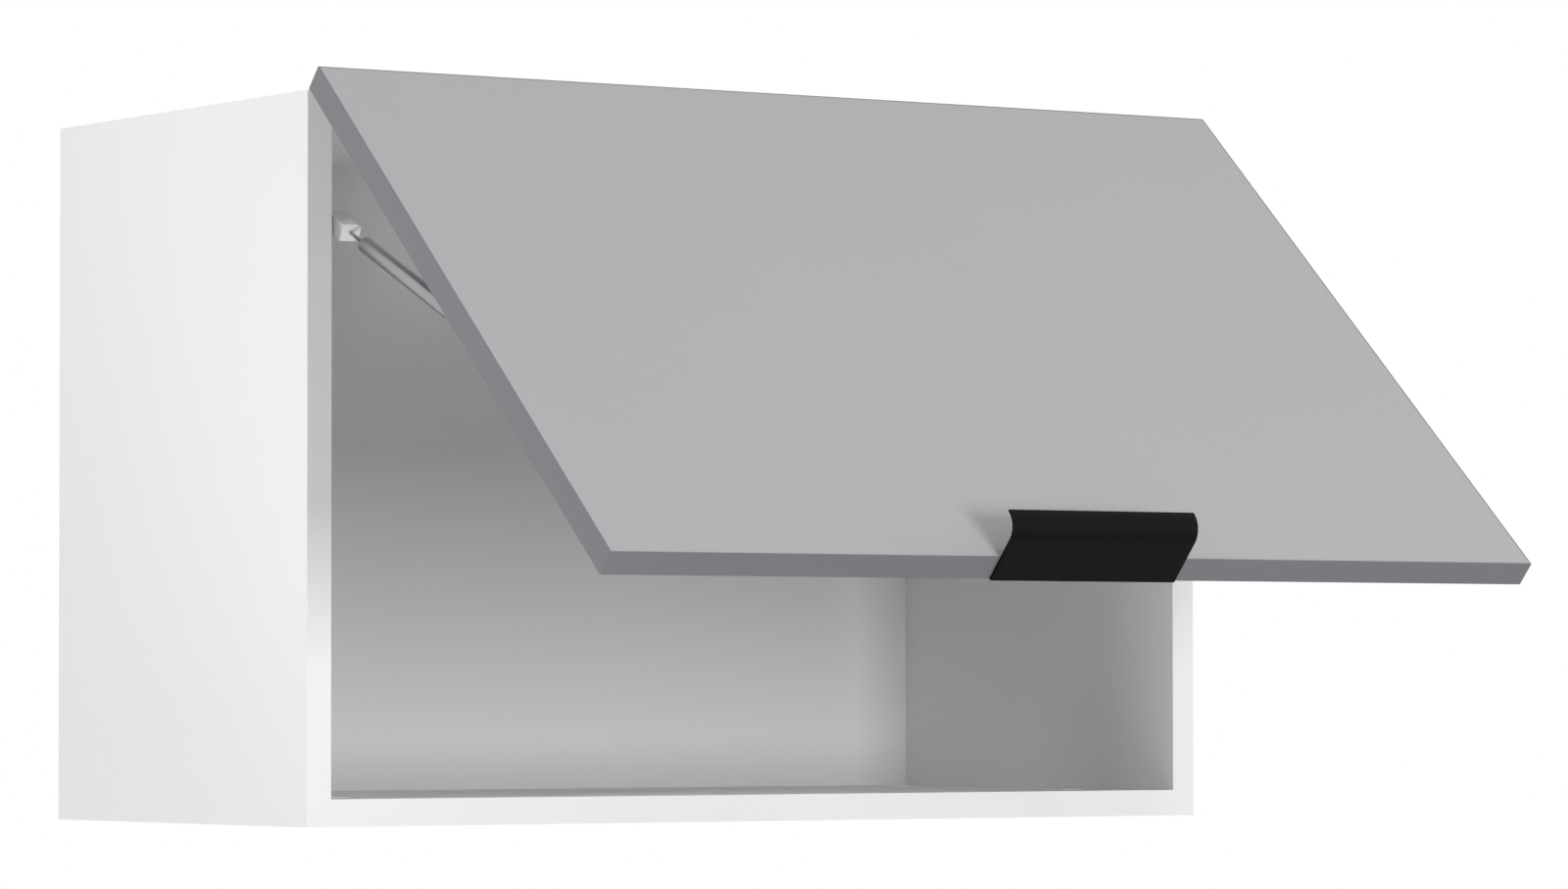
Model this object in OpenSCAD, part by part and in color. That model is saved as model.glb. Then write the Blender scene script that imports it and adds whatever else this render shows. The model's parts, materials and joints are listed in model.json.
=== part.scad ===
// Lift up wall cabinet: a white carcass with a grey flap that turns about its top edge,
// two gas struts, and a black edge pull along the bottom of the flap.
// Millimetres. X runs across, Y runs from the room to the wall, Z is up.
// Y = 0 is the wall, and Z = 0 is the line on which the two hooks bear.
// The flap is drawn open at open_angle, as it stands at rest.

/* [Carcass] */
// Outside width
cab_w = 600; // [450:10:900]
// Outside height
cab_h = 400; // [360:10:500]
// Depth from the wall to the front edges
cab_d = 292; // [270:2:360]
// Thickness of the sides, top and bottom
board_t = 15; // [15:0.5:18]
// Thickness of the edge bands on carcass and flap
band_t = 0.8; // [0.4:0.1:1.2]
// Thickness of the back panel
back_t = 3; // [2.5:0.5:4]
// Space between the wall and the back panel
wall_space = 11.5; // [10:0.5:14]
// Depth of the groove that holds the back panel
groove_depth = 6; // [4:0.5:7]

/* [Flap] */
// How far the flap is raised from the closed position
open_angle = 48; // [0:1:75]
// Height of the flap
flap_h = 401.5; // [360:0.5:500]
// Thickness of the flap
flap_t = 15; // [15:0.5:18]
// Gap between the closed flap and the carcass
flap_gap = 1.5; // [1.4:0.1:2.5]

/* [Edge pull] */
// Length of the pull along the flap
pull_len = 120; // [80:5:200]
// Wall of the pull
pull_t = 1.5; // [1.2:0.1:2]
// Outer radius of the curled lip
lip_r = 11.5; // [9:0.5:13]
// How far the lip stands in front of the flap
lip_reach = 24; // [20:0.5:30]
// Height of the leg let into the back of the flap
pull_leg = 16; // [14:0.5:24]

/* [Hinges] */
// Length of each hinge
hinge_len = 50; // [40:1:70]
// Distance of each hinge's middle from the side of the cabinet
hinge_inset = 90; // [70:1:140]
// Outer radius of the knuckle
knuckle_r = 2.5; // [2.3:0.1:3]
// Radius of the hinge pin
pin_r = 1.25; // [1:0.05:1.4]
// Thickness of the leaves
leaf_t = 1.2; // [1:0.1:1.4]
// Width of the leaf on top of the carcass
leaf_w = 24; // [20:1:30]

/* [Gas struts] */
// Radius of the cylinder
tube_r = 4.5; // [4.5:0.25:6]
// Length of the cylinder
tube_len = 101; // [80:1:102]
// Radius of the piston rod
rod_r = 2; // [1.5:0.25:2.5]
// Depth behind the front edge of the ball on the cabinet side
side_ball_y = 19; // [14:0.5:24]
// Drop of that ball below the top of the cabinet
side_ball_drop = 68.5; // [60:0.5:76]
// Distance of the ball on the flap from the flap's back
flap_ball_off = 9.5; // [9:0.5:14]
// Drop of the ball on the flap below the top of the flap
flap_ball_drop = 223; // [220:0.5:245]
// Distance of the strut's upper end from the inside of the cabinet side
strut_side = 12; // [11.5:0.5:16]
// How much nearer to the middle the strut's end on the flap stands
strut_splay = 8.5; // [0:0.5:12]
// Radius of the balls
ball_r = 4; // [3.5:0.25:4.5]

/* [Hangers] */
// Drop of the hooks' bearing line below the top of the cabinet
hang_drop = 50; // [44:1:60]
// Height of each hanger case
hanger_h = 58; // [54:1:64]
// Depth of each hanger case
hanger_d = 38; // [34:1:46]
// Width of each hanger case
hanger_w = 18; // [16:0.5:22]

/* [Hidden] */

$fn = 48;

// Overrun of every cut past the face it starts from
over = 1;
// Slack between pieces that are fitted together
fit = 0.05;
// Slack between pieces that move past each other
gap = 0.4;
// Running slack of a pin or ball in its seat
run = 0.05;

// Carcass
half_w = cab_w / 2;
inner_w = cab_w - 2 * board_t;
half_in = inner_w / 2;
hang_z = cab_h - hang_drop;
front_y = -cab_d;
core_y = front_y + band_t;
back_y = -wall_space - back_t;
back_slack = 0.5;

// Flap, closed
flap_back_y = front_y - flap_gap;
flap_front_y = flap_back_y - flap_t;
flap_low_z = cab_h - flap_h;
pivot_y = front_y - flap_gap / 2;
pivot_z = cab_h;

// Screws: [shank radius, head radius, length]
small_screw = [1.5, 3, 13];
pull_screw = [1.5, 2.8, 12];
screw_tip = 2;
recess_w = 0.8;
recess_depth = 1;
recess_share = 0.6;

// Cams, bolts and dowels
cam_r = 7.5;
cam_h = 12.5;
cam_reach = 34;
cam_wall = 1.5;
cam_slot_w = 1.6;
cam_slot_depth = 2;
cam_inset_share = [0.2, 0.8];
dowel_inset_share = [0.38, 0.62];
bolt_r = 3;
bolt_thread_r = 2.5;
bolt_thread = 11;
bolt_head_r = 3.6;
bolt_head = 2;
bolt_seat = 4.5;
bolt_bore_r = 4;
dowel_r = 4;
dowel_in_side = 10;
dowel_in_end = 20;
cover_r = 8.5;
cover_t = 0.4;

// Hangers
hook_t = 2.5;
hook_bar = 9;
hook_nose = 9;
hook_nose_t = 2.6;
hook_crown = 4;
hook_wall_gap = 0.9;
hook_in_case = 26;
hook_share = 0.42;
hanger_top_gap = 4;
hanger_round = 3;
peg_r = 5;
peg_len = 8;
peg_share = [0.22, 0.78];
hanger_screw_r = 3;
hanger_screw_head_r = 4;
hanger_screw_len = 9;
hanger_screw_head = 2;
hanger_screw_share = [0.3, 0.66];
slot_w = 10;
slot_up = 6;

// Hinges
knuckles = 5;
knuckle_gap = 0.3;
top_leaf_edge = 8;
flap_leaf_edge = 6;
leaf_screws_share = [0.16, 0.5, 0.84];
flap_leaf_h = 22;
flap_leaf_proud = 0.4;
leaf_corner = 3;

// Bumpers
bumper_r = 4;
bumper_t = 1.1;
bumper_inset = 22;

// Gas struts
plate_t = 2;
socket_w = 12;
socket_h = 9.6;
socket_reach = 19.2;
rod_socket_reach = 12;
socket_eye_r = 7;
socket_round = 3;
neck_r = 1;
neck_len = 15.8;
neck_in = 8;
rod_in = 6;
tube_wall = 0.8;
tube_floor = 3;
tube_round = 1.5;
tube_rim = 0.8;
rim_r = 3;
crimp_r = 0.9;
crimp_depth = 0.4;
gland_len = 6;
lip_out = 0.4;
piston_gap = 0.08;
piston_r = tube_r - tube_wall - piston_gap;
piston_len = 4;
rod_inside = 42;
stud_neck_r = 2.4;
stud_collar_r = 4.2;
stud_collar = 1.6;
stud_gap = 1.6;
side_plate_w = 20;
side_plate_h = 46;
side_plate_hole_share = [-0.36, 0.36];
bracket_w = 21;
bracket_len = 54;
bracket_hole_share = [-0.38, 0.38];
ear_r = 8;
ear_room = 4.5;
strut_x = half_in - strut_side;
flap_ball_x = strut_x - strut_splay;
socket_side_x = strut_x + socket_w / 2;
ear_x = flap_ball_x + socket_w / 2 + ear_room;

// Ball centres in the YZ plane, the flap's one turned with the flap
side_ball = [front_y + side_ball_y, cab_h - side_ball_drop];
flap_ball_closed = [flap_back_y + flap_ball_off, cab_h - flap_ball_drop];
flap_ball = turned(flap_ball_closed);
strut_vec = flap_ball - side_ball;
strut_len = norm([strut_splay, norm(strut_vec)]);
strut_tilt = atan2(strut_vec[1], strut_vec[0]);
strut_turn = atan2(strut_splay, norm(strut_vec));
tube_start = socket_reach + neck_len;
tube_end = tube_start + tube_len;
gland_end = tube_end - tube_rim;
rod_start = tube_end - rod_inside;
rod_end = strut_len - rod_socket_reach + rod_in;

function turned(p) = [
    pivot_y + cos(open_angle) * (p[0] - pivot_y) + sin(open_angle) * (p[1] - pivot_z),
    pivot_z - sin(open_angle) * (p[0] - pivot_y) + cos(open_angle) * (p[1] - pivot_z)
];

// Frames

// From the cabinet's bottom line to the hooks' bearing line
module hung() {
    translate([0, 0, -hang_z]) children();
}

// Turns a piece drawn on the closed flap to where the flap stands
module on_flap() {
    hung() translate([0, pivot_y, pivot_z]) rotate([-open_angle, 0, 0])
        translate([0, -pivot_y, -pivot_z]) children();
}

// Draws a piece of the right side on side 1, or its mirror image on side -1
module on_side(side) {
    mirror([side < 0 ? 1 : 0, 0, 0]) children();
}

// A YZ outline run along X, centred
module along_x(len) {
    translate([-len / 2, 0, 0]) rotate([90, 0, 90]) linear_extrude(height = len) children();
}

// A round bar along X from x, towards plus X
module bar_x(x, y, z, r, len) {
    translate([x, y, z]) rotate([0, 90, 0]) cylinder(r = r, h = len);
}

// A round bar along Y from y, towards plus Y
module bar_y(x, y, z, r, len) {
    translate([x, y, z]) rotate([-90, 0, 0]) cylinder(r = r, h = len);
}

// The strut's own line: Z runs from the cabinet ball to the flap ball
module on_strut() {
    hung() translate([strut_x, side_ball[0], side_ball[1]]) rotate([strut_tilt - 90, 0, 0])
        rotate([0, -strut_turn, 0]) children();
}

// Fasteners

// The right half of a disc, which turns into a ball
module half_disc(r) {
    intersection() {
        circle(r = r);
        translate([0, -r]) square([r, 2 * r]);
    }
}

// A countersunk screw with its head's face at Z = 0, pointing down
module countersunk(size) {
    shank = size[0];
    head = size[1];
    len = size[2];
    head_h = head - shank;
    difference() {
        union() {
            translate([0, 0, -head_h]) cylinder(r1 = shank, r2 = head, h = head_h);
            translate([0, 0, screw_tip - len]) cylinder(r = shank, h = len - screw_tip - head_h);
            translate([0, 0, -len]) cylinder(r1 = shank / 4, r2 = shank, h = screw_tip);
        }
        for (turn = [0, 90]) rotate([0, 0, turn])
            translate([-head * recess_share, -recess_w / 2, -recess_depth])
                cube([2 * head * recess_share, recess_w, recess_depth + over]);
    }
}

// The hole that such a screw sits in, with its mouth open
module countersunk_hole(size) {
    shank = size[0] + fit;
    head = size[1] + fit;
    head_h = size[1] - size[0];
    translate([0, 0, -head_h]) cylinder(r1 = shank, r2 = head, h = head_h);
    translate([0, 0, -size[2] - fit]) cylinder(r = shank, h = size[2]);
    cylinder(r = head, h = over);
}

// Places along Y of the cams and of the dowels
function cam_ys() = [for (s = cam_inset_share) front_y + s * cab_d];
function dowel_ys() = [for (s = dowel_inset_share) front_y + s * cab_d];
// Middle of the top and of the bottom board
board_zs = [board_t / 2, cab_h - board_t / 2];

// Puts its children, drawn along Z, on X in each joint of a side with top or bottom, at the given Y places
module at_joints(ys) {
    for (side = [-1, 1]) on_side(side) for (z = board_zs) for (y = ys)
        translate([half_in, y, z]) rotate([0, 90, 0]) children();
}

// Bores of cams, bolts and dowels in the ends of the top and bottom
module end_bores() {
    at_joints(cam_ys()) translate([0, 0, -cam_reach]) cylinder(r = bolt_bore_r, h = cam_reach + over);
    at_joints(dowel_ys()) translate([0, 0, -dowel_in_end - fit])
        cylinder(r = dowel_r + fit, h = dowel_in_end + over);
}

// Bores of bolts and dowels in the sides
module side_bores() {
    at_joints(cam_ys()) translate([0, 0, -over])
        cylinder(r = bolt_thread_r + fit, h = bolt_thread + over + fit);
    at_joints(dowel_ys()) translate([0, 0, -over])
        cylinder(r = dowel_r + fit, h = dowel_in_side + over + fit);
}

// The grooves that hold the back panel, in all four boards
module back_groove() {
    groove_w = inner_w + 2 * groove_depth;
    groove_h = cab_h - 2 * board_t + 2 * groove_depth;
    translate([-groove_w / 2, back_y - fit, board_t - groove_depth])
        cube([groove_w, back_t + 2 * fit, groove_h]);
}

// Carcass

module side_board() {
    difference() {
        translate([half_in, core_y, 0]) cube([board_t, cab_d - band_t, cab_h]);
        back_groove();
        side_bores();
        strut_side_holes();
        hanger_pegs(fit);
    }
}

module side_left() {
    color([0.96, 0.96, 0.96]) hung() on_side(-1) side_board();
}

module side_right() {
    color([0.96, 0.96, 0.96]) hung() on_side(1) side_board();
}

module flat_board() {
    translate([-half_in, core_y, 0]) cube([inner_w, cab_d - band_t, board_t]);
}

// Pockets for the cams, down from the board face at z
module cam_pockets(z) {
    for (side = [-1, 1]) for (y = cam_ys())
        translate([side * (half_in - cam_reach), y, z - cam_h - fit])
            cylinder(r = cam_r + fit, h = cam_h + over);
}

module top_panel() {
    color([0.96, 0.96, 0.96]) hung() difference() {
        translate([0, 0, cab_h - board_t]) flat_board();
        back_groove();
        end_bores();
        cam_pockets(cab_h);
        hinge_grooves();
        at_hinges() top_leaf_screws() countersunk_hole(small_screw);
    }
}

module bottom_panel() {
    color([0.96, 0.96, 0.96]) hung() difference() {
        flat_board();
        back_groove();
        end_bores();
        cam_pockets(board_t);
    }
}

module back_panel() {
    panel_w = inner_w + 2 * (groove_depth - back_slack);
    panel_low = board_t - groove_depth + back_slack;
    color([0.93, 0.93, 0.93]) hung() difference() {
        translate([-panel_w / 2, back_y, panel_low]) cube([panel_w, back_t, cab_h - 2 * panel_low]);
        for (side = [-1, 1]) on_side(side)
            translate([hook_x() + (hook_t - slot_w) / 2, back_y - over, hang_z - hook_nose - slot_up])
                cube([slot_w, back_t + 2 * over, hook_nose + hook_bar + 2 * slot_up]);
    }
}

module carcass_edge_bands() {
    color([0.97, 0.97, 0.97]) hung() {
        for (side = [-1, 1]) on_side(side) translate([half_in, front_y, 0]) cube([board_t, band_t, cab_h]);
        translate([-half_in, front_y, 0]) cube([inner_w, band_t, board_t]);
        difference() {
            translate([-half_in, front_y, cab_h - board_t]) cube([inner_w, band_t, board_t]);
            hinge_grooves();
        }
    }
}

// A cam housing, its face at Z = 0: it drops over the bolt's head, which comes from plus X
module cam_housing() {
    room_r = cam_r - cam_wall;
    room_h = cam_h - board_t / 2 + bolt_head_r + fit;
    slot_r = bolt_r + fit;
    difference() {
        translate([0, 0, -cam_h]) cylinder(r = cam_r, h = cam_h);
        translate([0, 0, -cam_h - over]) intersection() {
            cylinder(r = room_r, h = room_h + over);
            translate([0, -room_r, 0]) cube([room_r, 2 * room_r, room_h + over]);
        }
        translate([0, -slot_r, -cam_h - over]) cube([cam_r + over, 2 * slot_r, cam_h - board_t / 2 + over]);
        translate([0, 0, -board_t / 2]) rotate([0, 90, 0]) cylinder(r = slot_r, h = cam_r + over);
        for (turn = [0, 90]) rotate([0, 0, turn])
            translate([-cam_r * recess_share, -cam_slot_w / 2, -cam_slot_depth])
                cube([2 * cam_r * recess_share, cam_slot_w, cam_slot_depth + over]);
    }
}

module cam_housings() {
    color([0.7, 0.7, 0.68]) hung() for (side = [-1, 1]) on_side(side)
        for (y = cam_ys()) for (z = [board_t, cab_h])
            translate([half_in - cam_reach, y, z]) cam_housing();
}

// A cam bolt: thread in the side, shank in the board's end, head in the cam
module cam_bolts() {
    shank = cam_reach - bolt_seat;
    color([0.72, 0.72, 0.7]) hung() at_joints(cam_ys()) {
        translate([0, 0, -shank]) cylinder(r = bolt_r, h = shank);
        cylinder(r = bolt_thread_r, h = bolt_thread);
        translate([0, 0, -shank - bolt_head]) cylinder(r = bolt_head_r, h = bolt_head);
    }
}

module wood_dowels() {
    color([0.8, 0.68, 0.5]) hung() at_joints(dowel_ys()) translate([0, 0, -dowel_in_end])
        cylinder(r = dowel_r, h = dowel_in_end + dowel_in_side);
}

// Thin self-adhesive caps over the cams in the floor of the cabinet
module cam_covers() {
    color([0.97, 0.97, 0.97]) hung() for (side = [-1, 1]) on_side(side) for (y = cam_ys())
        translate([half_in - cam_reach, y, board_t]) {
            cylinder(r = cover_r, h = cover_t / 2);
            translate([0, 0, cover_t / 2]) cylinder(r1 = cover_r, r2 = cover_r - cover_t, h = cover_t / 2);
        }
}

// Hangers

function hook_x() = half_in - hanger_w + hanger_w * hook_share;
hanger_low_z = cab_h - board_t - hanger_top_gap - hanger_h;

module rounded_box(size, r) {
    linear_extrude(height = size[2]) union() {
        translate([r, 0]) square([size[0] - r, size[1]]);
        translate([0, r]) square([size[0], size[1] - r]);
        translate([r, r]) circle(r = r);
    }
}

// The pegs that hold a hanger case in the cabinet side, or with slack their holes
module hanger_pegs(slack) {
    peg_y = back_y - hanger_d / 2;
    for (s = peg_share)
        bar_x(half_in - over, peg_y, hanger_low_z + s * hanger_h, peg_r + slack, peg_len + over + slack);
}

module hanger_case(side) {
    screw_x = half_in - hanger_w / 2;
    color([0.94, 0.94, 0.93]) hung() on_side(side) difference() {
        union() {
            translate([half_in - hanger_w, back_y - hanger_d, hanger_low_z])
                rounded_box([hanger_w, hanger_d, hanger_h], hanger_round);
            hanger_pegs(0);
        }
        translate([hook_x() - fit, back_y - hook_in_case - gap, hang_z - gap])
            cube([hook_t + 2 * fit, hook_in_case + gap + over, hook_bar + 2 * gap]);
        for (s = hanger_screw_share) translate([screw_x, back_y - hanger_d, hanger_low_z + s * hanger_h]) {
            bar_y(0, -over, 0, hanger_screw_head_r + fit, hanger_screw_head + over + fit);
            bar_y(0, 0, 0, hanger_screw_r + fit, hanger_screw_len + fit);
        }
    }
}

module hanger_case_left() {
    hanger_case(-1);
}

module hanger_case_right() {
    hanger_case(1);
}

// The hook's outline: a bar out of the case, round over its end, with a nose behind the wall rail
module hook_outline() {
    bar_len = hook_in_case - back_y - hook_wall_gap;
    tip_r = hook_nose_t / 2;
    translate([back_y - hook_in_case, hang_z]) square([bar_len - hook_crown, hook_bar]);
    translate([back_y - hook_in_case, hang_z]) square([bar_len, hook_bar - hook_crown]);
    translate([-hook_wall_gap - hook_crown, hang_z + hook_bar - hook_crown]) circle(r = hook_crown);
    translate([-hook_wall_gap - hook_nose_t, hang_z - hook_nose + tip_r])
        square([hook_nose_t, hook_nose - tip_r + hook_bar / 2]);
    translate([-hook_wall_gap - tip_r, hang_z - hook_nose + tip_r]) circle(r = tip_r);
}

module hanger_hook(side) {
    color([0.75, 0.76, 0.77]) hung() on_side(side)
        translate([hook_x() + hook_t / 2, 0, 0]) along_x(hook_t) hook_outline();
}

module hanger_hook_left() {
    hanger_hook(-1);
}

module hanger_hook_right() {
    hanger_hook(1);
}

// An adjusting screw, its head's face at Z = 0, its thread towards plus Z
module hanger_screw() {
    difference() {
        union() {
            cylinder(r = hanger_screw_head_r, h = hanger_screw_head);
            cylinder(r = hanger_screw_r, h = hanger_screw_len);
        }
        for (turn = [0, 90]) rotate([0, 0, turn])
            translate([-hanger_screw_r * recess_share, -recess_w / 2, -over])
                cube([2 * hanger_screw_r * recess_share, recess_w, recess_depth + over]);
    }
}

module hanger_screws() {
    screw_x = half_in - hanger_w / 2;
    color([0.75, 0.76, 0.77]) hung() for (side = [-1, 1]) on_side(side) for (s = hanger_screw_share)
        translate([screw_x, back_y - hanger_d, hanger_low_z + s * hanger_h])
            rotate([-90, 0, 0]) hanger_screw();
}

// Hinges

hinge_x = half_w - hinge_inset;
knuckle_len = hinge_len / knuckles;

module at_hinges() {
    for (side = [-1, 1]) on_side(side) translate([hinge_x, 0, 0]) children();
}

// Rounded corners that the knuckles turn in, on carcass and closed flap
module hinge_grooves() {
    at_hinges() bar_x(-hinge_len / 2 - gap, pivot_y, pivot_z, knuckle_r + gap, hinge_len + 2 * gap);
}

// The knuckles of one leaf: parity 0 is the top leaf's, 1 the flap leaf's
module knuckle_row(parity, r, trim) {
    for (i = [parity:2:knuckles - 1])
        bar_x(-hinge_len / 2 + i * knuckle_len + trim, pivot_y, pivot_z, r, knuckle_len - 2 * trim);
}

module top_leaf_screws() {
    for (s = leaf_screws_share)
        translate([(s - 0.5) * hinge_len, front_y + leaf_w - top_leaf_edge, cab_h + leaf_t]) children();
}

module flap_leaf_screws() {
    screw_z = pivot_z - flap_leaf_h + flap_leaf_edge;
    for (s = leaf_screws_share)
        translate([(s - 0.5) * hinge_len, flap_back_y + flap_leaf_proud, screw_z])
            rotate([-90, 0, 0]) children();
}

// A leaf's plate in its own plane, its knuckle edge along y = 0, its far corners rounded
module leaf_plate(reach) {
    translate([-hinge_len / 2, 0]) square([hinge_len, reach - leaf_corner]);
    translate([-hinge_len / 2 + leaf_corner, 0]) square([hinge_len - 2 * leaf_corner, reach]);
    for (x = [-1, 1])
        translate([x * (hinge_len / 2 - leaf_corner), reach - leaf_corner]) circle(r = leaf_corner);
}

module hinge_top_leaf(side) {
    color([0.78, 0.78, 0.77]) hung() on_side(side) translate([hinge_x, 0, 0]) difference() {
        union() {
            difference() {
                translate([0, pivot_y, cab_h]) linear_extrude(height = leaf_t) leaf_plate(leaf_w);
                knuckle_row(1, knuckle_r + gap, -knuckle_gap / 2);
            }
            knuckle_row(0, knuckle_r, knuckle_gap / 2);
        }
        bar_x(-hinge_len / 2 - over, pivot_y, pivot_z, pin_r + fit, hinge_len + 2 * over);
        top_leaf_screws() countersunk_hole(small_screw);
    }
}

module hinge_top_leaf_left() {
    hinge_top_leaf(-1);
}

module hinge_top_leaf_right() {
    hinge_top_leaf(1);
}

module hinge_flap_leaf(side) {
    color([0.78, 0.78, 0.77]) on_flap() on_side(side) translate([hinge_x, 0, 0]) difference() {
        union() {
            difference() {
                translate([0, flap_back_y + flap_leaf_proud, pivot_z]) rotate([90, 0, 0]) mirror([0, 1, 0])
                    linear_extrude(height = leaf_t) leaf_plate(flap_leaf_h);
                knuckle_row(0, knuckle_r + gap, -knuckle_gap / 2);
            }
            knuckle_row(1, knuckle_r, knuckle_gap / 2);
        }
        bar_x(-hinge_len / 2 - over, pivot_y, pivot_z, pin_r + run, hinge_len + 2 * over);
        flap_leaf_screws() countersunk_hole(small_screw);
    }
}

module hinge_flap_leaf_left() {
    hinge_flap_leaf(-1);
}

module hinge_flap_leaf_right() {
    hinge_flap_leaf(1);
}

module hinge_pin(side) {
    color([0.7, 0.7, 0.7]) hung() on_side(side) translate([hinge_x, 0, 0])
        bar_x(-hinge_len / 2, pivot_y, pivot_z, pin_r, hinge_len);
}

module hinge_pin_left() {
    hinge_pin(-1);
}

module hinge_pin_right() {
    hinge_pin(1);
}

module hinge_top_screws() {
    color([0.75, 0.75, 0.74]) hung() at_hinges() top_leaf_screws() countersunk(small_screw);
}

module hinge_flap_screws() {
    color([0.75, 0.75, 0.74]) on_flap() at_hinges() flap_leaf_screws() countersunk(small_screw);
}

// Flap

// The shallow seats of the hinge leaves in the flap's back
module flap_leaf_seats() {
    seat_y = flap_back_y + flap_leaf_proud - leaf_t - fit;
    at_hinges() translate([-hinge_len / 2 - fit, seat_y, pivot_z - flap_leaf_h - fit])
        cube([hinge_len + 2 * fit, leaf_t + over, flap_leaf_h + over]);
}

module flap_panel() {
    core_w = cab_w - 2 * band_t;
    core_h = flap_h - 2 * band_t;
    color([0.69, 0.69, 0.71]) on_flap() difference() {
        translate([-core_w / 2, flap_front_y, flap_low_z + band_t]) cube([core_w, flap_t, core_h]);
        hinge_grooves();
        flap_leaf_seats();
        at_hinges() flap_leaf_screws() countersunk_hole(small_screw);
        pull_seat();
        pull_screw_places() countersunk_hole(pull_screw);
        strut_flap_holes();
    }
}

module flap_edge_bands() {
    color([0.5, 0.5, 0.52]) on_flap() difference() {
        union() {
            for (side = [-1, 1]) on_side(side)
                translate([half_w - band_t, flap_front_y, flap_low_z]) cube([band_t, flap_t, flap_h]);
            for (z = [flap_low_z, pivot_z - band_t])
                translate([-half_w + band_t, flap_front_y, z]) cube([cab_w - 2 * band_t, flap_t, band_t]);
        }
        hinge_grooves();
        flap_leaf_seats();
        pull_seat();
    }
}

// Where the pull's leg is let into the back of the flap
module pull_seat() {
    translate([-pull_len / 2 - fit, flap_back_y - pull_t - fit, flap_low_z - over])
        cube([pull_len + 2 * fit, pull_t + over, pull_leg + over + fit]);
}

module pull_screw_places() {
    for (x = [-1, 1])
        translate([x * (pull_len / 2 - pull_leg), flap_back_y, flap_low_z + pull_leg / 2])
            rotate([-90, 0, 0]) children();
}

// Outline of the pull: leg behind the flap, flange under it, lip curled up in front of it
module pull_outline() {
    lip_y = flap_front_y - lip_reach + lip_r;
    lip_z = flap_low_z - pull_t + lip_r;
    mid_r = lip_r - pull_t / 2;
    translate([flap_back_y - pull_t, flap_low_z - pull_t]) square([pull_t, pull_leg + pull_t]);
    translate([lip_y, flap_low_z - pull_t]) square([flap_back_y - lip_y, pull_t]);
    translate([lip_y, lip_z]) intersection() {
        difference() {
            circle(r = lip_r);
            circle(r = lip_r - pull_t);
        }
        translate([-lip_r - over, -lip_r - over]) square([lip_r + over, lip_r + over]);
    }
    translate([lip_y - mid_r, lip_z]) circle(r = pull_t / 2, $fn = 24);
}

module edge_pull() {
    color([0.1, 0.1, 0.1]) on_flap() difference() {
        along_x(pull_len) pull_outline();
        pull_screw_places() countersunk_hole(pull_screw);
    }
}

module edge_pull_screws() {
    color([0.12, 0.12, 0.12]) on_flap() pull_screw_places() countersunk(pull_screw);
}

module flap_bumpers() {
    color([0.9, 0.9, 0.9, 0.6]) on_flap() for (side = [-1, 1]) on_side(side)
        translate([half_w - board_t / 2, flap_back_y, flap_low_z + bumper_inset]) rotate([-90, 0, 0]) {
            cylinder(r = bumper_r, h = bumper_t / 2);
            translate([0, 0, bumper_t / 2])
                cylinder(r1 = bumper_r, r2 = bumper_r - bumper_t, h = bumper_t / 2);
        }
}

// Gas struts

module side_plate_screws() {
    for (s = side_plate_hole_share)
        translate([half_in - plate_t, side_ball[0], side_ball[1] + s * side_plate_h])
            rotate([0, -90, 0]) children();
}

module strut_side_holes() {
    side_plate_screws() countersunk_hole(small_screw);
}

// The plate on the cabinet side that carries the upper ball stud
module strut_side_plate(side) {
    color([0.78, 0.78, 0.78]) hung() on_side(side) difference() {
        translate([half_in - plate_t / 2, side_ball[0], side_ball[1]]) along_x(plate_t) {
            square([side_plate_w, side_plate_h - side_plate_w], center = true);
            for (s = [-1, 1])
                translate([0, s * (side_plate_h - side_plate_w) / 2]) circle(r = side_plate_w / 2);
        }
        side_plate_screws() countersunk_hole(small_screw);
        bar_x(half_in - plate_t - over, side_ball[0], side_ball[1], stud_neck_r + fit, plate_t + 2 * over);
    }
}

module strut_side_plate_left() {
    strut_side_plate(-1);
}

module strut_side_plate_right() {
    strut_side_plate(1);
}

// The stud on that plate: it stops just short of the socket that turns beside it
module strut_side_stud(side) {
    collar_x = half_in - plate_t - stud_collar;
    tip_x = socket_side_x + stud_gap;
    color([0.8, 0.8, 0.8]) hung() on_side(side) {
        bar_x(tip_x, side_ball[0], side_ball[1], stud_neck_r, half_in - tip_x - fit);
        bar_x(collar_x, side_ball[0], side_ball[1], stud_collar_r, stud_collar);
    }
}

module strut_side_stud_left() {
    strut_side_stud(-1);
}

module strut_side_stud_right() {
    strut_side_stud(1);
}

module bracket_screws() {
    for (s = bracket_hole_share)
        translate([ear_x - bracket_w / 2, flap_back_y + plate_t, flap_ball_closed[1] + s * bracket_len])
            rotate([-90, 0, 0]) children();
}

module strut_flap_holes() {
    for (side = [-1, 1]) on_side(side) bracket_screws() countersunk_hole(small_screw);
}

// The angle bracket on the flap that carries the lower ball stud
module strut_flap_bracket(side) {
    y = flap_ball_closed[0];
    z = flap_ball_closed[1];
    color([0.78, 0.78, 0.78]) on_flap() on_side(side) difference() {
        union() {
            translate([ear_x - bracket_w, flap_back_y, z - bracket_len / 2])
                cube([bracket_w, plate_t, bracket_len]);
            translate([ear_x - plate_t / 2, 0, 0]) along_x(plate_t) {
                translate([flap_back_y, z - ear_r]) square([y - flap_back_y, 2 * ear_r]);
                translate([y, z]) circle(r = ear_r);
            }
        }
        bracket_screws() countersunk_hole(small_screw);
        bar_x(ear_x - plate_t - over, y, z, stud_neck_r + fit, plate_t + 2 * over);
    }
}

module strut_flap_bracket_left() {
    strut_flap_bracket(-1);
}

module strut_flap_bracket_right() {
    strut_flap_bracket(1);
}

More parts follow.
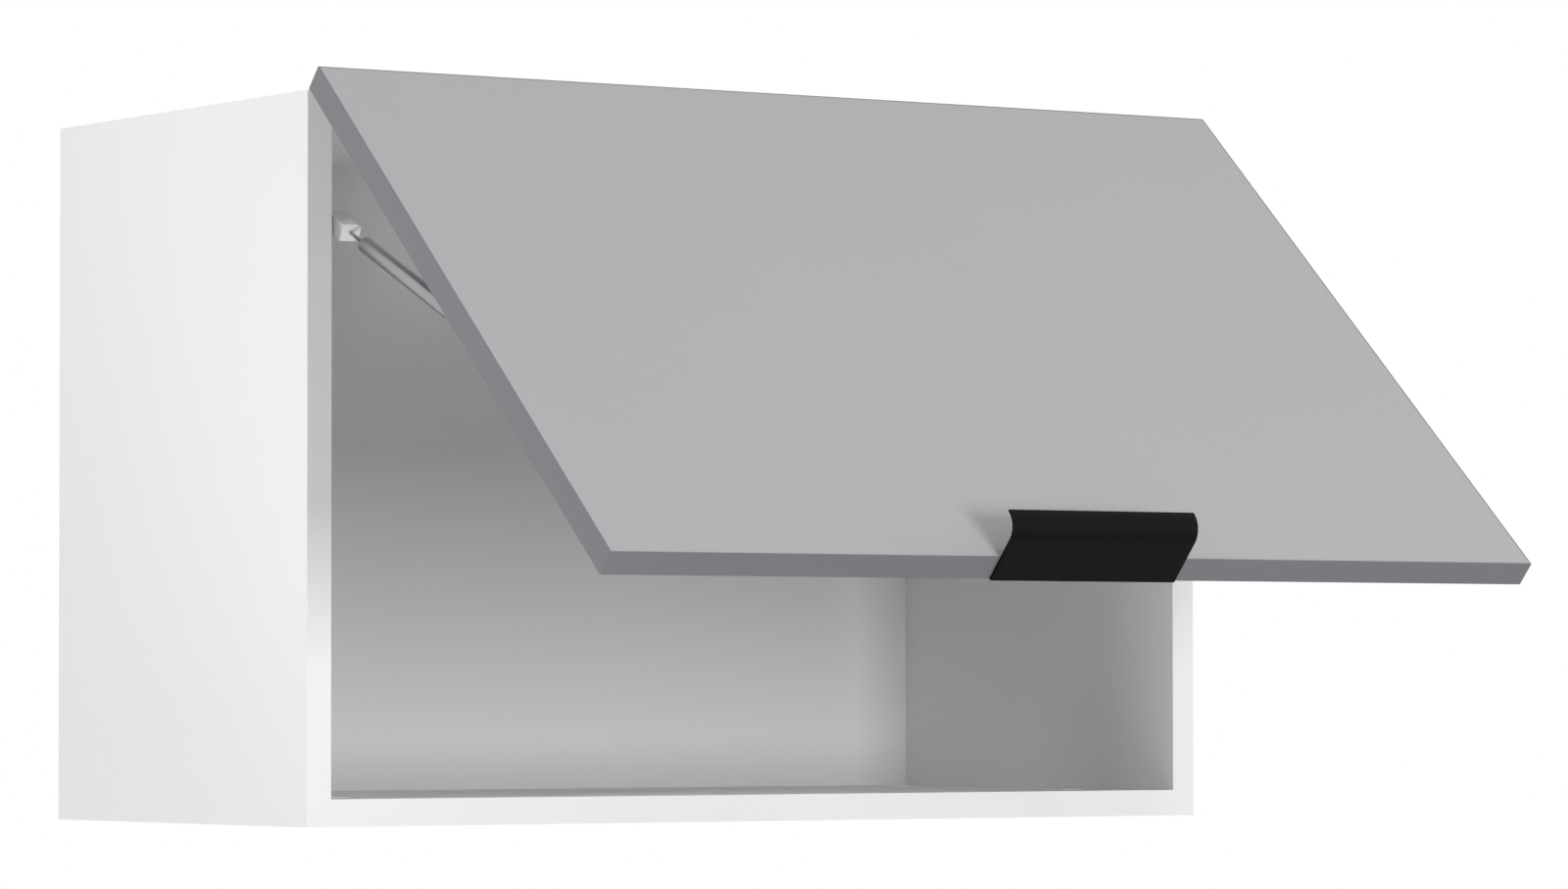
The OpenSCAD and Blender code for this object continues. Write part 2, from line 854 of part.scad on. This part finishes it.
// The ball stud in that bracket's ear, which carries the strut's rod
module strut_ball_stud(side) {
    y = flap_ball_closed[0];
    z = flap_ball_closed[1];
    reach = ear_x - flap_ball_x;
    color([0.8, 0.8, 0.8]) on_flap() on_side(side) translate([flap_ball_x, y, z])
        rotate([0, 90, 0]) rotate_extrude() {
            half_disc(ball_r);
            square([stud_neck_r, reach - fit]);
            translate([0, reach - plate_t - stud_collar]) square([stud_collar_r, stud_collar]);
        }
}

module strut_ball_stud_left() {
    strut_ball_stud(-1);
}

module strut_ball_stud_right() {
    strut_ball_stud(1);
}

// A plastic socket: its ball centre at the origin, its flat end at Z = reach
module ball_socket(reach, cavity) {
    difference() {
        union() {
            rotate([0, 90, 0]) translate([0, 0, -socket_w / 2]) cylinder(r = socket_eye_r, h = socket_w);
            linear_extrude(height = reach) union() {
                translate([-socket_w / 2 + socket_round, -socket_h / 2])
                    square([socket_w - socket_round, socket_h]);
                translate([-socket_w / 2, -socket_h / 2 + socket_round])
                    square([socket_w, socket_h - 2 * socket_round]);
                for (s = [-1, 1])
                    translate([-socket_w / 2 + socket_round, s * (socket_h / 2 - socket_round)])
                        circle(r = socket_round);
            }
        }
        if (cavity) {
            rotate_extrude() half_disc(ball_r + run);
            rotate([0, 90, 0]) cylinder(r = stud_neck_r + 2 * gap, h = socket_w);
        }
    }
}

module strut_tube_socket(side) {
    color([0.97, 0.97, 0.97]) on_side(side) on_strut() difference() {
        ball_socket(socket_reach, false);
        translate([0, 0, socket_reach - neck_in]) cylinder(r = neck_r + fit, h = neck_in + over);
    }
}

module strut_tube_socket_left() {
    strut_tube_socket(-1);
}

module strut_tube_socket_right() {
    strut_tube_socket(1);
}

// The cylinder: a round-shouldered tube on a thin neck, its rim rolled in over the gland,
// with a groove rolled into it round the gland's middle
module strut_tube(side) {
    color([0.62, 0.62, 0.63]) on_side(side) on_strut() rotate_extrude() difference() {
        union() {
            translate([0, socket_reach - neck_in + fit]) square([neck_r, neck_in + neck_len]);
            translate([0, tube_start]) square([tube_r - tube_round, tube_len]);
            translate([0, tube_start + tube_round]) square([tube_r, tube_len - 2 * tube_round]);
            for (z = [tube_start + tube_round, tube_end - tube_round])
                translate([tube_r - tube_round, z]) circle(r = tube_round);
        }
        translate([0, tube_start + tube_floor])
            square([tube_r - tube_wall, tube_len - tube_floor - tube_rim]);
        translate([0, tube_start + tube_floor]) square([rim_r, tube_len]);
        translate([tube_r - crimp_depth + crimp_r, gland_end - gland_len / 2]) circle(r = crimp_r);
    }
}

module strut_tube_left() {
    strut_tube(-1);
}

module strut_tube_right() {
    strut_tube(1);
}

// The gland in the end of the cylinder, which the rod runs in, with a lip that wipes the rod
module strut_gland(side) {
    color([0.2, 0.2, 0.2]) on_side(side) on_strut() rotate_extrude() difference() {
        union() {
            translate([0, gland_end - gland_len]) square([tube_r - tube_wall - fit, gland_len - fit]);
            translate([0, gland_end - gland_len]) square([rim_r - fit, gland_len + tube_rim + lip_out]);
        }
        translate([0, gland_end - gland_len - over]) square([rod_r + run, tube_len]);
    }
}

module strut_gland_left() {
    strut_gland(-1);
}

module strut_gland_right() {
    strut_gland(1);
}

// The piston rod with its piston
module strut_rod(side) {
    color([0.8, 0.8, 0.82]) on_side(side) on_strut() {
        translate([0, 0, rod_start]) cylinder(r = rod_r, h = rod_end - rod_start);
        translate([0, 0, rod_start]) cylinder(r = piston_r, h = piston_len);
    }
}

module strut_rod_left() {
    strut_rod(-1);
}

module strut_rod_right() {
    strut_rod(1);
}

module strut_rod_socket(side) {
    color([0.97, 0.97, 0.97]) on_side(side) on_strut()
        translate([0, 0, strut_len]) rotate([180, 0, 0]) difference() {
            ball_socket(rod_socket_reach, true);
            translate([0, 0, rod_socket_reach - rod_in - fit]) cylinder(r = rod_r + fit, h = rod_in + over);
        }
}

module strut_rod_socket_left() {
    strut_rod_socket(-1);
}

module strut_rod_socket_right() {
    strut_rod_socket(1);
}

module strut_side_screws() {
    color([0.75, 0.75, 0.74]) hung() for (side = [-1, 1]) on_side(side)
        side_plate_screws() countersunk(small_screw);
}

module strut_flap_screws() {
    color([0.75, 0.75, 0.74]) on_flap() for (side = [-1, 1]) on_side(side)
        bracket_screws() countersunk(small_screw);
}

side_left();
side_right();
top_panel();
bottom_panel();
back_panel();
carcass_edge_bands();
cam_housings();
cam_bolts();
wood_dowels();
cam_covers();
hanger_case_left();
hanger_case_right();
hanger_hook_left();
hanger_hook_right();
hanger_screws();
flap_panel();
flap_edge_bands();
edge_pull();
edge_pull_screws();
flap_bumpers();
hinge_top_leaf_left();
hinge_top_leaf_right();
hinge_flap_leaf_left();
hinge_flap_leaf_right();
hinge_pin_left();
hinge_pin_right();
hinge_top_screws();
hinge_flap_screws();
strut_side_plate_left();
strut_side_plate_right();
strut_side_stud_left();
strut_side_stud_right();
strut_flap_bracket_left();
strut_flap_bracket_right();
strut_ball_stud_left();
strut_ball_stud_right();
strut_tube_left();
strut_tube_right();
strut_tube_socket_left();
strut_tube_socket_right();
strut_gland_left();
strut_gland_right();
strut_rod_left();
strut_rod_right();
strut_rod_socket_left();
strut_rod_socket_right();
strut_side_screws();
strut_flap_screws();
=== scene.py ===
import json
import math

import bpy
import numpy as np
from mathutils import Matrix, Vector


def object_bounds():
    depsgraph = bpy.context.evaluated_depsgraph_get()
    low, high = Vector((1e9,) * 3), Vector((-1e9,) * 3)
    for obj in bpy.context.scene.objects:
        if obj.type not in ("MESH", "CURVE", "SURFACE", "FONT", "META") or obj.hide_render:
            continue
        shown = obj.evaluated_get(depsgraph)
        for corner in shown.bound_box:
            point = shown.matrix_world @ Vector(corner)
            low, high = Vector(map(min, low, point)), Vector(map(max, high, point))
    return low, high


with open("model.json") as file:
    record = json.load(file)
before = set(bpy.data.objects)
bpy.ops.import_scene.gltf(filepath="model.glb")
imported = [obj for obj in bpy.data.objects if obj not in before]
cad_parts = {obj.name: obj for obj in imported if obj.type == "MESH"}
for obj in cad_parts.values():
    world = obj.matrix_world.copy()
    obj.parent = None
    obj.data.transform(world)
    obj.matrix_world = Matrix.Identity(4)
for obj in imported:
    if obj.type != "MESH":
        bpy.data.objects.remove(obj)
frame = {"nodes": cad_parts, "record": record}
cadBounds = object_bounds()
nodes = frame["nodes"]
print("frame:", len(nodes), "parts of the cabinet")


# Camera: where the photograph was taken from, in metres and degrees, and its focal length in pixels
photoCamera = {
    "place": (-2.036, -3.379, -0.279),
    "yaw": 33.533,
    "pitch": 2.202,
    "roll": -0.072,
    "focalPx": 6658,
    "widthPx": 1600,
    "sensorMm": 36,
    "farthest": 100,
}


def makeCamera(spec):
    # The view looks along yaw, turned from +Y towards +X, and pitch above the horizon
    yaw, pitch, roll = (math.radians(spec[k]) for k in ("yaw", "pitch", "roll"))
    level = math.cos(pitch)
    ahead = Vector((math.sin(yaw) * level, math.cos(yaw) * level, math.sin(pitch)))
    data = bpy.data.cameras.new("photoCamera")
    data.sensor_width = spec["sensorMm"]
    data.lens = spec["focalPx"] * spec["sensorMm"] / spec["widthPx"]
    data.clip_end = spec["farthest"]
    camera = bpy.data.objects.new("photoCamera", data)
    turn = ahead.to_track_quat("-Z", "Y").to_matrix() @ Matrix.Rotation(roll, 3, "Z")
    camera.matrix_world = Matrix.Translation(spec["place"]) @ turn.to_4x4()
    bpy.context.scene.collection.objects.link(camera)
    bpy.context.scene.camera = camera


makeCamera(photoCamera)
print("camera: set")


# Shader helpers
mmPerMetre = 1000
defaultIor = 1.5  # the shader's own, which the metals keep
turnedShare = 0.9  # a face is turned to an axis where its normal's part along it is above this
octaves = {"patch": 3.0, "grain": 2.0, "pearl": 1.5}  # how finely each noise is broken up
# Sockets of a Mix node: its share, its two values and its two colours, then its two results
share, valueA, valueB, colourA, colourB = 0, 2, 3, 6, 7
mixedValue, mixedColour = 0, 2


def hexToLinear(code):
    # sRGB hex to the linear colour that a shader takes, by the standard sRGB curve
    parts = [int(code[i:i + 2], 16) / 255 for i in (1, 3, 5)]
    return [p / 12.92 if p <= 0.04045 else ((p + 0.055) / 1.055) ** 2.4 for p in parts] + [1.0]


def addNode(tree, kind, inputs=None, settings=None):
    # An input takes a value or another node's output; settings are the node's own choices
    node = tree.nodes.new(kind)
    for name, value in (settings or {}).items():
        setattr(node, name, value)
    for name, value in (inputs or {}).items():
        if isinstance(value, bpy.types.NodeSocket):
            tree.links.new(value, node.inputs[name])
        else:
            node.inputs[name].default_value = value
    return node


def perMm(size):
    # A pattern's scale from the size of its features in millimetres, on coordinates in metres
    return mmPerMetre / size


def startMaterial(name):
    material = bpy.data.materials.new(name)
    material.use_nodes = True
    tree = material.node_tree
    tree.nodes.clear()
    return material, tree, addNode(tree, "ShaderNodeTexCoord")


def finishMaterial(tree, shader):
    addNode(tree, "ShaderNodeOutputMaterial", {"Surface": shader.outputs[0]})


def makeFinish(name, look):
    # Colour that drifts between two close tones over soft patches, with a fine relief on top
    material, tree, where = startMaterial(name)
    placed = addNode(tree, "ShaderNodeMapping", {
        "Vector": where.outputs["Object"], "Scale": look.get("stretch", (1, 1, 1))})
    patches = addNode(tree, "ShaderNodeTexNoise", {
        "Vector": placed.outputs[0], "Scale": perMm(look["patchMm"]), "Detail": octaves["patch"]})
    grain = addNode(tree, "ShaderNodeTexNoise", {
        "Vector": placed.outputs[0], "Scale": perMm(look["grainMm"]), "Detail": octaves["grain"]})
    tone = addNode(tree, "ShaderNodeMix", {
        share: patches.outputs[0], colourA: hexToLinear(look["light"]),
        colourB: hexToLinear(look["dark"])}, {"data_type": "RGBA"})
    rough = addNode(tree, "ShaderNodeMapRange", {
        "Value": grain.outputs[0], "To Min": look["rough"] - look["roughSpread"],
        "To Max": look["rough"] + look["roughSpread"]})
    relief = addNode(tree, "ShaderNodeBump", {
        "Height": grain.outputs[0], "Strength": 1.0, "Distance": look["reliefMm"] / mmPerMetre})
    shader = addNode(tree, "ShaderNodeBsdfPrincipled", {
        "Base Color": tone.outputs[mixedColour], "Roughness": rough.outputs[0],
        "Normal": relief.outputs[0], "Metallic": look.get("metallic", 0.0),
        "IOR": look.get("ior", defaultIor)})
    finishMaterial(tree, shader)
    return material


def makeBoard(name, look):
    # A faced board: its face finish, and its bare core where the surface is turned to a bare axis
    material, tree, where = startMaterial(name)
    patches = addNode(tree, "ShaderNodeTexNoise", {
        "Vector": where.outputs["Object"], "Scale": perMm(look["patchMm"]),
        "Detail": octaves["patch"]})
    pearl = addNode(tree, "ShaderNodeTexNoise", {
        "Vector": where.outputs["Object"], "Scale": perMm(look["pearlMm"]),
        "Detail": octaves["pearl"]})
    face = addNode(tree, "ShaderNodeMix", {
        share: patches.outputs[0], colourA: hexToLinear(look["light"]),
        colourB: hexToLinear(look["dark"])}, {"data_type": "RGBA"})
    chips = addNode(tree, "ShaderNodeTexVoronoi", {
        "Vector": where.outputs["Object"], "Scale": perMm(look["chipMm"])})
    chipTone = addNode(tree, "ShaderNodeSeparateColor", {0: chips.outputs["Color"]})
    core = addNode(tree, "ShaderNodeMix", {
        share: chipTone.outputs[0], colourA: hexToLinear(look["coreLight"]),
        colourB: hexToLinear(look["coreDark"])}, {"data_type": "RGBA"})
    facing = addNode(tree, "ShaderNodeSeparateXYZ", {0: where.outputs["Normal"]})
    bare = None
    for axis in look["bareAxes"]:
        side = addNode(tree, "ShaderNodeMath", {
            0: facing.outputs[axis], 1: turnedShare}, {"operation": "GREATER_THAN"})
        bare = side if bare is None else addNode(tree, "ShaderNodeMath", {
            0: bare.outputs[0], 1: side.outputs[0]}, {"operation": "MAXIMUM"})
    tone = addNode(tree, "ShaderNodeMix", {
        share: bare.outputs[0], colourA: face.outputs[mixedColour],
        colourB: core.outputs[mixedColour]}, {"data_type": "RGBA"})
    rough = addNode(tree, "ShaderNodeMix", {
        share: bare.outputs[0], valueA: look["rough"], valueB: look["coreRough"]})
    height = addNode(tree, "ShaderNodeMix", {
        share: bare.outputs[0], valueA: pearl.outputs[0], valueB: chipTone.outputs[0]})
    relief = addNode(tree, "ShaderNodeBump", {
        "Height": height.outputs[mixedValue], "Strength": 1.0,
        "Distance": look["reliefMm"] / mmPerMetre})
    shader = addNode(tree, "ShaderNodeBsdfPrincipled", {
        "Base Color": tone.outputs[mixedColour], "Roughness": rough.outputs[mixedValue],
        "Normal": relief.outputs[0], "IOR": look["ior"], "Specular IOR Level": look["specular"]})
    finishMaterial(tree, shader)
    return material


# White melamine on chipboard, pressed with a pearl plate: an even, quiet white that mirrors little;
# the rear ends show bare chips
melamineBoard = {
    "light": "#ECECEC", "dark": "#E8E8E8", "patchMm": 260, "pearlMm": 1.2, "reliefMm": 0.012,
    "rough": 0.7, "ior": 1.45, "specular": 0.12, "bareAxes": ["Y"],
    "chipMm": 2.2, "coreLight": "#C9AE84", "coreDark": "#8F7148", "coreRough": 0.85,
}
# The same board for the sides, whose top ends are bare too
melamineSide = dict(melamineBoard, bareAxes=["Y", "Z"])
# Fibreboard, lacquered white towards the inside and left brown towards the wall
fibreBack = dict(
    melamineBoard, light="#E6E6E6", dark="#E1E1E1", pearlMm=0.9, rough=0.5,
    chipMm=0.9, coreLight="#9C7448", coreDark="#7E5A34", coreRough=0.8)
# ABS edge band, ironed on and buffed: an even white with a soft gloss
bandWhite = {
    "light": "#E7E7E7", "dark": "#E3E3E3", "patchMm": 120, "grainMm": 0.8, "reliefMm": 0.006,
    "rough": 0.38, "roughSpread": 0.04, "ior": 1.53,
}
# Super matte lacquered front: a soft velvet grey that hardly mirrors anything
frontGrey = {
    "light": "#B1B1B3", "dark": "#AEADB0", "patchMm": 240, "grainMm": 0.7, "reliefMm": 0.010,
    "rough": 0.62, "roughSpread": 0.04, "ior": 1.46,
}
# ABS band of the front, painted a deeper grey than its face: painted shade for the edges, which
# fall darker than the face under the light
bandGreyPaintedShade = {
    "light": "#707075", "dark": "#6C6C71", "patchMm": 90, "grainMm": 0.8, "reliefMm": 0.006,
    "rough": 0.5, "roughSpread": 0.04, "ior": 1.53,
}
# Powder coated aluminium: deep black with a fine grit, which leaves hardly a highlight
powderBlack = {
    "light": "#0C0C0C", "dark": "#090909", "patchMm": 30, "grainMm": 0.35, "reliefMm": 0.012,
    "rough": 0.5, "roughSpread": 0.06, "ior": 1.15,
}
# Zinc plated steel: a pale cold grey with a slightly uneven shine
zincSteel = {
    "light": "#C9CBCC", "dark": "#B3B6BA", "patchMm": 14, "grainMm": 0.5, "reliefMm": 0.004,
    "rough": 0.34, "roughSpread": 0.07, "metallic": 1.0,
}
# Hard chromed rod and ball: a bright mirror with faint turning marks
chromedSteel = {
    "light": "#DADBDD", "dark": "#CDCED1", "patchMm": 10, "grainMm": 0.3, "reliefMm": 0.001,
    "rough": 0.12, "roughSpread": 0.03, "metallic": 1.0,
}
# Drawn and lacquered steel tube: light grey metal, smooth along its length
drawnTube = {
    "light": "#A4A4A6", "dark": "#9A9A9D", "patchMm": 18, "grainMm": 0.4, "reliefMm": 0.002,
    "rough": 0.30, "roughSpread": 0.04, "metallic": 1.0,
}
# Moulded acetal gland: dense black plastic
glandBlack = {
    "light": "#1E1E1E", "dark": "#181818", "patchMm": 6, "grainMm": 0.5, "reliefMm": 0.004,
    "rough": 0.4, "roughSpread": 0.05, "ior": 1.48,
}
# Die cast zinc: dull grey with the skin of the mould
castZinc = {
    "light": "#A9A9A5", "dark": "#90908C", "patchMm": 5, "grainMm": 0.6, "reliefMm": 0.010,
    "rough": 0.5, "roughSpread": 0.08, "metallic": 1.0,
}
# Moulded polypropylene covers and hanger cases: clean white, faintly spark eroded
mouldedWhite = {
    "light": "#F0F0EE", "dark": "#EAEAE8", "patchMm": 40, "grainMm": 0.5, "reliefMm": 0.008,
    "rough": 0.45, "roughSpread": 0.05, "ior": 1.49,
}
# Moulded nylon sockets: a whiter, slightly glossier plastic
mouldedNylon = dict(mouldedWhite, light="#F4F4F4", dark="#EEEEEE", rough=0.35, ior=1.53)
# Clear soft bumper: pale and rubbery
bumperClear = {
    "light": "#DDE0E2", "dark": "#D2D6D9", "patchMm": 6, "grainMm": 0.6, "reliefMm": 0.004,
    "rough": 0.3, "roughSpread": 0.05, "ior": 1.45,
}
# Beech dowel: pale wood, its fibres along X
beechDowel = {
    "light": "#D9B98C", "dark": "#BF9A68", "patchMm": 3, "grainMm": 0.6, "reliefMm": 0.03,
    "rough": 0.7, "roughSpread": 0.06, "ior": 1.45, "stretch": (0.08, 1, 1),
}

finishes = {
    "carcass_board": makeBoard("melamineWhite", melamineBoard),
    "back_board": makeBoard("fibreboardWhite", fibreBack),
    "carcass_band": makeFinish("absBandWhite", bandWhite),
    "flap_board": makeFinish("superMatteGrey", frontGrey),
    # the front's band takes the grey darkened as painted shade
    "flap_band": makeFinish("absBandGreyPaintedShade", bandGreyPaintedShade),
    "black_metal": makeFinish("powderCoatBlack", powderBlack),
    "zinc_steel": makeFinish("zincPlatedSteel", zincSteel),
    "chromed_steel": makeFinish("chromedSteel", chromedSteel),
    "tube_paint": makeFinish("lacqueredSteelTube", drawnTube),
    "cast_zinc": makeFinish("dieCastZinc", castZinc),
    "white_plastic": makeFinish("mouldedPolypropylene", mouldedWhite),
    "socket_plastic": makeFinish("mouldedNylon", mouldedNylon),
    "bumper_plastic": makeFinish("softClearPlastic", bumperClear),
    "dowel_wood": makeFinish("beechWood", beechDowel),
    "gland_plastic": makeFinish("acetalBlack", glandBlack),
}
sideBoards = ("side_left", "side_right")
sideFinish = makeBoard("melamineWhiteSide", melamineSide)

slotOf = {part["node"]: part["material_slot"] for part in frame["record"]["subparts"]}
for name, obj in nodes.items():
    finish = sideFinish if name in sideBoards else finishes[slotOf[name]]
    for holder in obj.material_slots:
        holder.material = finish
    if not obj.material_slots:
        obj.data.materials.append(finish)
print("materials:", len(finishes) + 1, "finishes")


# Surround: the strength of the light from all around; strength 1 is the white that is seen
surround = {"lighting": 0.34, "seen": 1.0, "colour": (1, 1, 1, 1)}


def makeSurround(spec):
    # What lights the cabinet has its own strength; what the camera and shiny parts see is white
    world = bpy.data.worlds.new("studio")
    bpy.context.scene.world = world
    world.use_nodes = True
    tree = world.node_tree
    tree.nodes.clear()
    ray = addNode(tree, "ShaderNodeLightPath")
    seen = addNode(tree, "ShaderNodeMath", {
        0: ray.outputs["Is Camera Ray"], 1: ray.outputs["Is Transmission Ray"]},
        {"operation": "MAXIMUM"})
    seen = addNode(tree, "ShaderNodeMath", {
        0: seen.outputs[0], 1: ray.outputs["Is Glossy Ray"]}, {"operation": "MAXIMUM"})
    lighting = addNode(tree, "ShaderNodeBackground", {
        "Color": spec["colour"], "Strength": spec["lighting"]})
    white = addNode(tree, "ShaderNodeBackground", {
        "Color": spec["colour"], "Strength": spec["seen"]})
    both = addNode(tree, "ShaderNodeMixShader", {
        0: seen.outputs[0], 1: lighting.outputs[0], 2: white.outputs[0]})
    addNode(tree, "ShaderNodeOutputWorld", {"Surface": both.outputs[0]})


# Lamps: place, aim and size in metres; the spot reaches the strut through the gap beside the flap
lamps = {
    "frontLamp": {
        "place": (0.25, -4.5, -0.21), "aim": (0.0, -0.3, -0.23), "size": 1.2, "watts": 78},
    "keyLamp": {
        "place": (0.45, -2.66, 3.35), "aim": (0.0, -0.45, -0.05), "size": 0.6, "watts": 25},
    "leftLamp": {
        "place": (-2.9, -0.2, -0.2), "aim": (-0.3, -0.2, -0.15), "size": 0.8, "watts": 25},
    "cornerLamp": {
        "place": (-3.18, -1.39, 1.65), "aim": (-0.3, -0.2, -0.15), "size": 0.8, "watts": 25},
    "strutSpot": {
        "place": (-1.22, -1.6, -1.6), "aim": (-0.29, -0.29, -0.08), "size": 0.3, "watts": 62,
        "coneDeg": 14},
    "rightLamp": {
        "place": (2.75, -1.05, 0.2), "aim": (0.3, -0.15, -0.15), "size": 1.0, "watts": 29},
    "rearLamp": {
        "place": (0.0, 3.0, 0.6), "aim": (0.0, 0.0, -0.15), "size": 1.2, "watts": 30},
}


def makeLamp(name, spec):
    # A square soft box that looks from its place to its aim, or a soft spot where a cone is given
    cone = spec.get("coneDeg")
    data = bpy.data.lights.new(name, "SPOT" if cone else "AREA")
    if cone:
        data.spot_size = math.radians(cone)
        data.spot_blend = 1.0  # its light fades over the whole cone
        data.shadow_soft_size = spec["size"] / 2
    else:
        data.size = spec["size"]
    data.energy = spec["watts"]
    lamp = bpy.data.objects.new(name, data)
    place = Vector(spec["place"])
    turn = (Vector(spec["aim"]) - place).to_track_quat("-Z", "Y").to_matrix()
    lamp.matrix_world = Matrix.Translation(place) @ turn.to_4x4()
    lamp.visible_camera = False
    bpy.context.scene.collection.objects.link(lamp)


# Floor: a pale disc, its drop below the cabinet and its radius in metres; it fades out between two
# shares of its radius, and is clear from below
floorDisc = {
    "drop": 1.4, "centre": 0.001, "radius": 5.0, "rings": 2, "spokes": 64,
    "tone": "#E9E9E9", "rough": 0.8, "fadeFrom": 0.45, "fadeTo": 0.98,
}


def makeFloor(spec):
    # A disc of rings and spokes: radius grows with the first parameter, angle with the second
    spokes = spec["spokes"]
    radius = np.linspace(spec["centre"], spec["radius"], spec["rings"])
    angle = np.linspace(0, 2 * np.pi, spokes, endpoint=False)
    spread, turn = np.meshgrid(radius, angle, indexing="ij")
    points = np.column_stack((
        (spread * np.cos(turn)).ravel(), (spread * np.sin(turn)).ravel(),
        np.full(spread.size, cadBounds[0].z - spec["drop"])))
    inner = np.arange(spokes)
    after = np.roll(inner, -1)
    faces = np.column_stack((inner, inner + spokes, after + spokes, after))
    mesh = bpy.data.meshes.new("floor")
    mesh.from_pydata(points.tolist(), [], faces.tolist())
    floor = bpy.data.objects.new("floor", mesh)
    bpy.context.scene.collection.objects.link(floor)
    material, tree, where = startMaterial("paleFloor")
    reach = addNode(tree, "ShaderNodeVectorMath", {
        0: where.outputs["Object"]}, {"operation": "LENGTH"})
    fade = addNode(tree, "ShaderNodeMapRange", {
        "Value": reach.outputs["Value"], "From Min": spec["radius"] * spec["fadeFrom"],
        "From Max": spec["radius"] * spec["fadeTo"]}, {"interpolation_type": "SMOOTHSTEP"})
    side = addNode(tree, "ShaderNodeNewGeometry")
    gone = addNode(tree, "ShaderNodeMath", {
        0: fade.outputs[0], 1: side.outputs["Backfacing"]}, {"operation": "MAXIMUM"})
    pale = addNode(tree, "ShaderNodeBsdfPrincipled", {
        "Base Color": hexToLinear(spec["tone"]), "Roughness": spec["rough"]})
    clear = addNode(tree, "ShaderNodeBsdfTransparent")
    both = addNode(tree, "ShaderNodeMixShader", {
        0: gone.outputs[0], 1: pale.outputs[0], 2: clear.outputs[0]})
    finishMaterial(tree, both)
    floor.data.materials.append(material)


makeSurround(surround)
for lampName, lampSpec in lamps.items():
    makeLamp(lampName, lampSpec)
makeFloor(floorDisc)
bpy.context.scene.view_settings.view_transform = "Standard"
print("studio:", len(lamps), "lamps and a floor")
